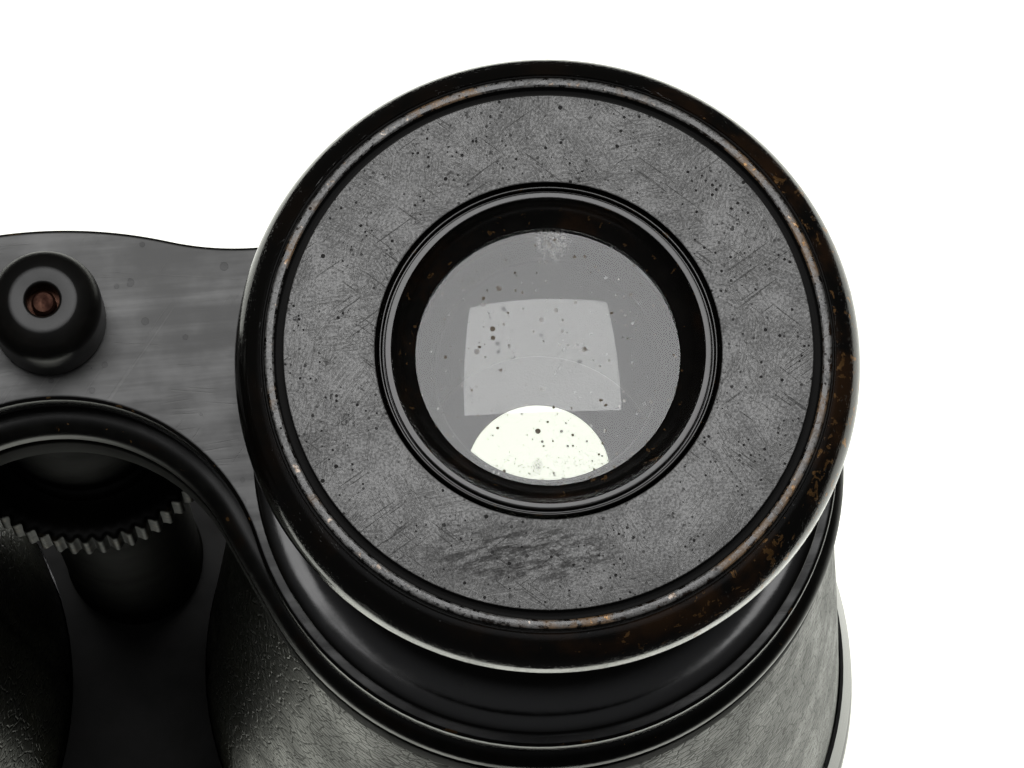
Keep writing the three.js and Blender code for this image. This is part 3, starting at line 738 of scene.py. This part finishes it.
def neck_profile():
    """A flat foot with a fine bead, and a cove that rises from it to the upright wall."""
    foot, top = levels("eyepiece_neck_right")
    bore, wall, cove = 12.2, 13.0, 5.2
    return [
        (bore, foot),
        (18.9, foot),
        *arc(18.8, foot + 0.22, 0.2, 0.22, -60, 70, 5),
        (18.5, foot + 0.5),
        *arc(wall + cove, foot + 0.6 + cove, cove, cove, 270, 180, 20),
        (wall, top),
        (bore, top),
    ]


def tube_profile(node, bore):
    """A plain tube with bevelled outer edges, as tall and as wide as its CAD node."""
    bottom, top = levels(node)
    outer = outer_radius(node)
    bevel = 0.12
    return [
        (bore, bottom),
        (outer - bevel, bottom),
        (outer, bottom + bevel),
        (outer, top - bevel),
        (outer - bevel, top),
        (bore, top),
    ]


def eye_retainer_profile():
    """A ring with a rim that stands up round the lens and a lip below it."""
    bottom, top = levels("eye_lens_retainer_right")
    bore, rim = 7.05, 8.4
    seat = bottom + 1.0
    return [
        (bore, bottom),
        (LENS_R, bottom),
        (LENS_R, top),
        (rim, top),
        (rim, seat),
        (bore + 0.1, seat),
        (bore, seat - 0.1),
    ]


def turned_pieces(side, sign, body, parts):
    """Turned pieces on one optical axis: node, profile, material, slot and material inside."""
    for node, profile, material, slot, inside in parts:
        mesh = turned_mesh(profile, sign * AXIS_X)
        stand_for(f"{node}_{side}", mesh, material, body, inside=inside)


def eyepiece(side, sign):
    parts = (
        ("eyecup", eyecup_profile(), EYECUP, "satin_lacquer", None),
        ("lens_bezel", bezel_profile(), BEZEL, "gloss_lacquer", None),
        ("eye_lens", eye_lens_profile(), EYE_GLASS, "lens_glass", None),
        ("eyepiece_neck", neck_profile(), NECK, "gloss_lacquer", MATT),
        ("draw_tube", tube_profile("draw_tube_right", 15.7), TUBE, "draw_tube_lacquer", MATT),
        ("draw_tube_stop", tube_profile("draw_tube_stop_right", 9.0), MATT, "inside_black", None),
        ("eye_lens_retainer", eye_retainer_profile(), MATT, "inside_black", None),
    )
    turned_pieces(side, sign, OCULAR, parts)


# ---- barrels --------------------------------------------------------------------------
BARREL_BOTTOM, BARREL_TOP = levels("barrel_right")
BARREL_BOTTOM_R, BARREL_TOP_R = outer_radius("barrel_right"), 19.3
BARREL_WALL = 0.9
COVER_INSIDE, COVER_OUTSIDE = 0.15, 0.85  # from the barrel to either side of the leather


def barrel_radius(z):
    share = (z - BARREL_BOTTOM) / (BARREL_TOP - BARREL_BOTTOM)
    return BARREL_BOTTOM_R + (BARREL_TOP_R - BARREL_BOTTOM_R) * share


def barrel_profile():
    return [
        (BARREL_BOTTOM_R - BARREL_WALL, BARREL_BOTTOM),
        (BARREL_BOTTOM_R, BARREL_BOTTOM),
        (BARREL_TOP_R, BARREL_TOP),
        (BARREL_TOP_R - BARREL_WALL, BARREL_TOP),
    ]


def leather_profile():
    """The tapered cover, with its cut edges slightly rounded."""
    bottom, top = levels("leather_cover_right")
    foot, head = barrel_radius(bottom), barrel_radius(top)
    steps, edge = 36, 0.2
    heights = [bottom + (top - bottom) * i / steps for i in range(1, steps)]
    return [
        (foot + COVER_INSIDE, bottom),
        (foot + COVER_OUTSIDE - edge, bottom),
        (foot + COVER_OUTSIDE - 0.02, bottom + edge),
        *[(barrel_radius(z) + COVER_OUTSIDE, z) for z in heights],
        (head + COVER_OUTSIDE - 0.01, top - edge),
        (head + COVER_OUTSIDE - edge, top),
        (head + COVER_INSIDE, top),
    ]


def leather_shape(seam_angle):
    """Leather is never quite even: it swells a little and dips at the seam where its ends meet."""
    seam_depth, seam_width = 0.3, 0.5

    def shape(angle, radius, z):
        if radius <= barrel_radius(z) + 2 * COVER_INSIDE:
            return radius
        away = math.atan2(math.sin(angle - seam_angle), math.cos(angle - seam_angle))
        seam = seam_depth * math.exp(-((away * radius / seam_width) ** 2))
        swell = 0.05 * math.sin(3 * angle + z / 9) + 0.035 * math.sin(7 * angle - z / 5)
        return radius - seam - max(0, swell)

    return shape


def ring_profile():
    """Round the foot, up past a bead to the tapered shoulder, and down inside round the lens seat."""
    top = levels("objective_ring_right")[1]
    outer = outer_radius("objective_ring_right")
    shoulder, mouth, lens_seat, opening = 26.8, 24.5, 21.8, 19.6
    shoulder_top, step_z, bead_z, lip_z = 11, 6.7, 4.0, 4.0
    return [
        (mouth + 0.1, 0),
        (outer - 0.6, 0),
        *arc(outer - 0.6, 0.6, 0.6, 0.6, -80, 0, 6),
        (outer, bead_z - 0.55),
        *arc(outer, bead_z, 0.42, 0.5, -100, -260, 8),
        (outer, bead_z + 0.55),
        (outer, step_z - 0.5),
        *arc(shoulder + 0.8, step_z - 0.3, 0.8, 2.0, 5, 40, 5),
        (shoulder + 0.3, shoulder_top - 0.3),
        (shoulder + 0.15, shoulder_top),
        (shoulder, shoulder_top),
        (shoulder, step_z),
        (mouth, step_z),
        (mouth, top),
        (lens_seat, top),
        (lens_seat, lip_z),
        (opening + 0.1, lip_z - 0.3),
        (opening, lip_z - 0.4),
        (opening, 2.75),
        (mouth - 0.3, 1.95),
        (mouth, 1.7),
        (mouth, 0.1),
    ]


def crown_profile():
    """The front lens, rounded on both sides."""
    bottom, top = levels("objective_crown_lens_right")
    edge = outer_radius("objective_crown_lens_right")
    front = lens_arc(bottom, 100, 1, edge)
    back = lens_arc(top, 90, -1, edge)
    return [*front, *reversed(back)]


def flint_profile():
    """The rear lens, hollow in front to lie on the crown lens, and flat behind."""
    crown_top = levels("objective_crown_lens_right")[1]
    top = levels("objective_flint_lens_right")[1]
    edge = outer_radius("objective_flint_lens_right")
    return [*lens_arc(crown_top + 0.3, 90, -1, edge), (edge, top), (0, top)]


def barrel_assembly(side, sign):
    x = sign * AXIS_X
    seam = math.pi if sign > 0 else 0.0
    stand_for(f"barrel_{side}", turned_mesh(barrel_profile(), x), MATT, BODY)
    cover = turned_mesh(leather_profile(), x, segments=2 * ROUND, shape=leather_shape(seam))
    stand_for(f"leather_cover_{side}", cover, LEATHER, BODY, 50)
    parts = (
        ("objective_ring", ring_profile(), GLOSS, "gloss_lacquer", MATT),
        ("objective_crown_lens", crown_profile(), OBJECT_GLASS, "lens_glass", None),
        ("objective_flint_lens", flint_profile(), OBJECT_GLASS, "lens_glass", None),
        ("objective_retainer", tube_profile("objective_retainer_right", 19.0), MATT, "inside_black", None),
        ("guide_sleeve", tube_profile("guide_sleeve_right", 17.4), MATT, "inside_black", None),
        ("felt_lining", tube_profile("felt_lining_right", 16.7), FELT, "felt", None),
    )
    turned_pieces(side, sign, BODY, parts)


# ---- bridges --------------------------------------------------------------------------
TUBE_HOLE = 16.8  # radius round a draw tube
FRAME_GROW, FRAME_ARCH_GROW = 0.8, 1.5  # how far the frame stands out past the moving plate


def holes_for(tube, screw):
    """A hole round each optical axis and one round the screw."""
    return [(sign * AXIS_X, 0, tube) for _, sign in SIDES] + [(0, SCREW_Y, screw)]


def moving_bridge():
    bottom, top = levels("moving_bridge_plate")
    mesh = plate_mesh(UPPER_PLATE, rounded(bottom, top, 0.15, 0.3), holes_for(TUBE_HOLE, 2.8))
    stand_for("moving_bridge_plate", mesh, SATIN, OCULAR)


def top_plate():
    """A rounded bead standing out under a narrow ledge."""
    bottom, top = levels("top_plate")
    ledge_height, ledge_bevel = 0.75, 0.1
    ledge = top - ledge_height
    edge = rounded(bottom, ledge, 0.5, 1.2, FRAME_GROW, FRAME_ARCH_GROW, 8)
    grow = edge[-1][0] - ledge_bevel
    grow_arch = grow + 0.3
    edge += [
        (grow, grow_arch, ledge),
        (grow, grow_arch, top - ledge_bevel),
        (grow - ledge_bevel, grow_arch - ledge_bevel, top),
    ]
    mesh = plate_mesh(UPPER_PLATE, edge, holes_for(TUBE_HOLE, 2.9))
    stand_for("top_plate", mesh, PLATE_EDGE, BODY)


def frame_plate():
    bottom, top = levels("frame_plate")
    edge = rounded(bottom, top, 0.3, 0.6, FRAME_GROW, FRAME_ARCH_GROW)
    mesh = plate_mesh(UPPER_PLATE, edge, holes_for(18.3, 2.9))
    stand_for("frame_plate", mesh, FRAME, BODY)


def lower_bridge():
    """Its edge slopes in to meet the barrels."""
    bottom, top = levels("lower_bridge")
    insets = ((0.2, bottom), (0, bottom + 0.2), (0.15, bottom + 0.8), (0.95, top))
    edge = [(-inset, -inset, z) for inset, z in insets]
    mesh = plate_mesh(LOWER_PLATE, edge, holes_for(BARREL_BOTTOM_R + 0.2, 4.3))
    stand_for("lower_bridge", mesh, LEDGE, BODY)


# ---- focusing -------------------------------------------------------------------------
SHAFT_BORE = 3.1  # of the collar and the column, round the screw


def dome_nut_profile():
    """A thick collar domed over to a flat top, with a pin hole in it."""
    foot, top = levels("dome_nut")
    outer = outer_radius("dome_nut")
    screw_hole, pin_hole = 2.8, 1.1
    return [
        (screw_hole, foot),
        (outer - 0.35, foot),
        *arc(outer - 0.35, foot + 0.35, 0.35, 0.35, -80, 0, 4),
        (outer, top - 2.2),
        *arc(outer - 1.4, top - 2.0, 1.4, 1.7, 5, 68, 12),
        *arc(1.95, top - 0.42, 0.75, 0.42, 60, 100, 4),
        *arc(pin_hole + 0.2, top - 0.2, 0.2, 0.2, 90, 180, 4),
        (pin_hole, top - 1.3),
        (screw_hole, top - 1.6),
    ]


def screw_profile():
    """A rod with thread ridges, and a thin pin at its upper end."""
    bottom, top = levels("focus_screw")
    crest = outer_radius("focus_screw")
    root, pin = crest - 0.25, 0.8
    end = top - 1.4
    pitch, lead_in = 0.9, 0.6
    thread = []
    for i in range(int((end - bottom - 2 * lead_in) / pitch)):
        z = bottom + lead_in + i * pitch
        thread += [(root, z), (crest, z + 0.3), (crest, z + 0.5), (root, z + 0.8)]
    return [
        (0, bottom),
        (2.0, bottom),
        *thread,
        (crest, end - 0.1),
        (crest - 0.1, end),
        (pin, end),
        (pin, top - 0.25),
        (pin - 0.15, top - 0.08),
        (0.35, top),
        (0, top),
    ]


def wheel_mesh():
    """Straight knurling round the rim, a dished web and a raised hub."""
    bottom, top = levels("focus_wheel")
    bore, hub, web, rim = 4.1, 6.6, 8.2, 9.2
    rim_low, rim_high = bottom + 0.9, top - 0.9
    teeth, tooth_depth, points_per_tooth = 56, 0.42, 8
    profile = [
        (bore, bottom + 0.1),
        (bore + 0.2, bottom),
        (hub - 0.2, bottom),
        (hub, bottom + 0.2),
        (hub + 0.1, rim_low + 0.25),
        (web, rim_low + 0.25),
        (web + 0.3, rim_low),
        (rim, rim_low),
        *arc(rim + 0.1, rim_low + 0.5, 0.5, 0.5, -70, 0, 5),
        *arc(rim + 0.1, rim_high - 0.5, 0.5, 0.5, 0, 70, 5),
        (rim, rim_high),
        (web + 0.3, rim_high),
        (web, rim_high - 0.25),
        (hub + 0.1, rim_high - 0.25),
        (hub, top - 0.2),
        (hub - 0.2, top),
        (bore + 0.2, top),
        (bore, top - 0.1),
    ]

    def knurl(angle, radius, z):
        outward = max(0.0, min(1.0, (radius - rim + 0.05) / 0.45))
        valley = (0.5 - 0.5 * math.cos(teeth * angle)) ** 1.5
        return radius - tooth_depth * outward * valley

    return turned_mesh(profile, 0, SCREW_Y, points_per_tooth * teeth, knurl)


def post_profile(node, outer, bead=0.0):
    """A hollow post, with a bead near each end where a height is given for it."""
    bottom, top = levels(node)
    bevel = 0.25
    side = []
    if bead:
        for z in (bottom + 2.2, top - 2.2):
            side += [(outer, z - 0.9), *arc(outer - bead, z, 1.6 * bead, 0.6, -60, 60, 8), (outer, z + 0.9)]
    return [
        (SHAFT_BORE, bottom),
        (outer - bevel, bottom),
        (outer, bottom + bevel),
        *side,
        (outer, top - bevel),
        (outer - bevel, top),
        (SHAFT_BORE, top),
    ]


def end_screw_profile():
    """A screw with a broad head below."""
    low, high = levels("column_end_screw")
    head, shank, head_height = outer_radius("column_end_screw"), 4.0, 2
    return [
        (0, low + 0.1),
        (3.6, low),
        (head - 0.8, low),
        *arc(head - 0.8, low + 0.8, 0.8, 0.8, -80, 0, 6),
        (head, low + head_height),
        (shank, low + head_height),
        (shank, high),
        (0, high),
    ]


def focusing():
    """What stands on the screw's axis, from the nut down."""

    def on_screw(node, profile, material, body, segments=ROUND_SMALL):
        stand_for(node, turned_mesh(profile, 0, SCREW_Y, segments), material, body)

    on_screw("dome_nut", dome_nut_profile(), NUT, OCULAR, ROUND)
    on_screw("focus_screw", screw_profile(), PIN, OCULAR)
    on_screw("column_collar", post_profile("column_collar", 6.4), SHADED, BODY)
    on_screw("centre_column", post_profile("centre_column", 5.6, 0.25), SHADED, BODY)
    on_screw("column_end_screw", end_screw_profile(), GLOSS, BODY)
    stand_for("focus_wheel", wheel_mesh(), WHEEL, WHEEL_BODY, 60)


for side_name, side_sign in SIDES:
    eyepiece(side_name, side_sign)
    barrel_assembly(side_name, side_sign)
moving_bridge()
top_plate()
frame_plate()
lower_bridge()
focusing()

# These pieces keep their CAD shapes.
for node_name, node_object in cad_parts.items():
    if node_name.startswith(("top_plate_screw", "thrust_washer", "focus_nut")):
        node_object.data.materials.clear()
        node_object.data.materials.append(AGED_BRASS)


# ---- stage ----------------------------------------------------------------------------
# Places and sizes from here on are in metres.
PANEL_PLACE, PANEL_SIZE = (0.055, 0.045, -0.0001), (0.55, 0.2, 1)
PANEL_COLOUR, PANEL_STRENGTH = (0.98, 1.0, 0.88, 1), 0.98
SIDE_LIGHT, TOP_LIGHT = (0.025, 0.025, 0.025, 1), (0.3, 0.305, 0.315, 1)
LAMP_FROM_EYECUP, LAMP_WIDTH, LAMP_DEPTH, LAMP_RADIANCE = (0.0, 0.38, 1.15), 0.88, 0.72, 4.9
CAMERA_FROM_EYECUP = (-0.00762, -0.06403, 0.25705)
CAMERA_ANGLES = (13.583, -0.657, -2.216)  # degrees about X, Y and Z, from looking straight down
CAMERA_LENS = 155.1  # focal length in mm, on a sensor 36 mm wide


def from_eyecup(offset):
    """A place given from the middle of the right eyecup's face."""
    return Vector((AXIS_X, 0, FACE)) * MM + Vector(offset)


def floor():
    """A pale light panel, no larger than the object needs."""
    bpy.ops.mesh.primitive_plane_add(size=1, location=PANEL_PLACE)
    table = bpy.context.object
    table.name = "table"
    table.scale = PANEL_SIZE
    shade = Shade("table_top", Roughness=0.6, Emission_Color=PANEL_COLOUR, Emission_Strength=PANEL_STRENGTH)
    shade.set("Base Color", shade.blend(shade.noise(600, 2), (0.84, 0.84, 0.83), (0.86, 0.86, 0.86)))
    table.data.materials.append(shade.material)


def room():
    """Pale to the camera. As light: a dark room, a little brighter overhead."""
    world = bpy.data.worlds.new("room")
    bpy.context.scene.world = world
    world.use_nodes = True
    tree = world.node_tree
    tree.nodes.clear()
    output = tree.nodes.new("ShaderNodeOutputWorld")
    direction = tree.nodes.new("ShaderNodeTexCoord")
    split = tree.nodes.new("ShaderNodeSeparateXYZ")
    ramp = tree.nodes.new("ShaderNodeValToRGB")
    ramp.color_ramp.interpolation = "EASE"
    side, overhead = ramp.color_ramp.elements
    side.position, side.color = 0.7, SIDE_LIGHT
    overhead.position, overhead.color = 1.0, TOP_LIGHT
    lit = tree.nodes.new("ShaderNodeBackground")
    seen = tree.nodes.new("ShaderNodeBackground")
    seen.inputs["Color"].default_value = (1, 1, 1, 1)
    mix = tree.nodes.new("ShaderNodeMixShader")
    path = tree.nodes.new("ShaderNodeLightPath")
    for source, socket in (
        (direction.outputs["Generated"], split.inputs[0]),
        (split.outputs["Z"], ramp.inputs["Fac"]),
        (ramp.outputs["Color"], lit.inputs["Color"]),
        (path.outputs["Is Camera Ray"], mix.inputs[0]),
        (lit.outputs[0], mix.inputs[1]),
        (seen.outputs[0], mix.inputs[2]),
        (mix.outputs[0], output.inputs["Surface"]),
    ):
        tree.links.new(source, socket)


def soft_box():
    """A rectangular lamp facing straight down, above and behind the eyepiece."""
    lamp = bpy.data.lights.new("key", "AREA")
    lamp.shape = "RECTANGLE"
    lamp.size, lamp.size_y = LAMP_WIDTH, LAMP_DEPTH
    lamp.energy = LAMP_RADIANCE * math.pi * LAMP_WIDTH * LAMP_DEPTH
    holder = bpy.data.objects.new("key", lamp)
    holder.location = from_eyecup(LAMP_FROM_EYECUP)
    bpy.context.scene.collection.objects.link(holder)


def camera():
    """Looks down on the right eyepiece from a little in front of it."""
    data = bpy.data.cameras.new("camera")
    data.lens = CAMERA_LENS
    data.clip_start = 0.01
    holder = bpy.data.objects.new("camera", data)
    holder.location = from_eyecup(CAMERA_FROM_EYECUP)
    holder.rotation_euler = [math.radians(angle) for angle in CAMERA_ANGLES]
    bpy.context.scene.collection.objects.link(holder)
    bpy.context.scene.camera = holder


floor()
room()
soft_box()
camera()
bpy.context.scene.view_settings.view_transform = "Standard"
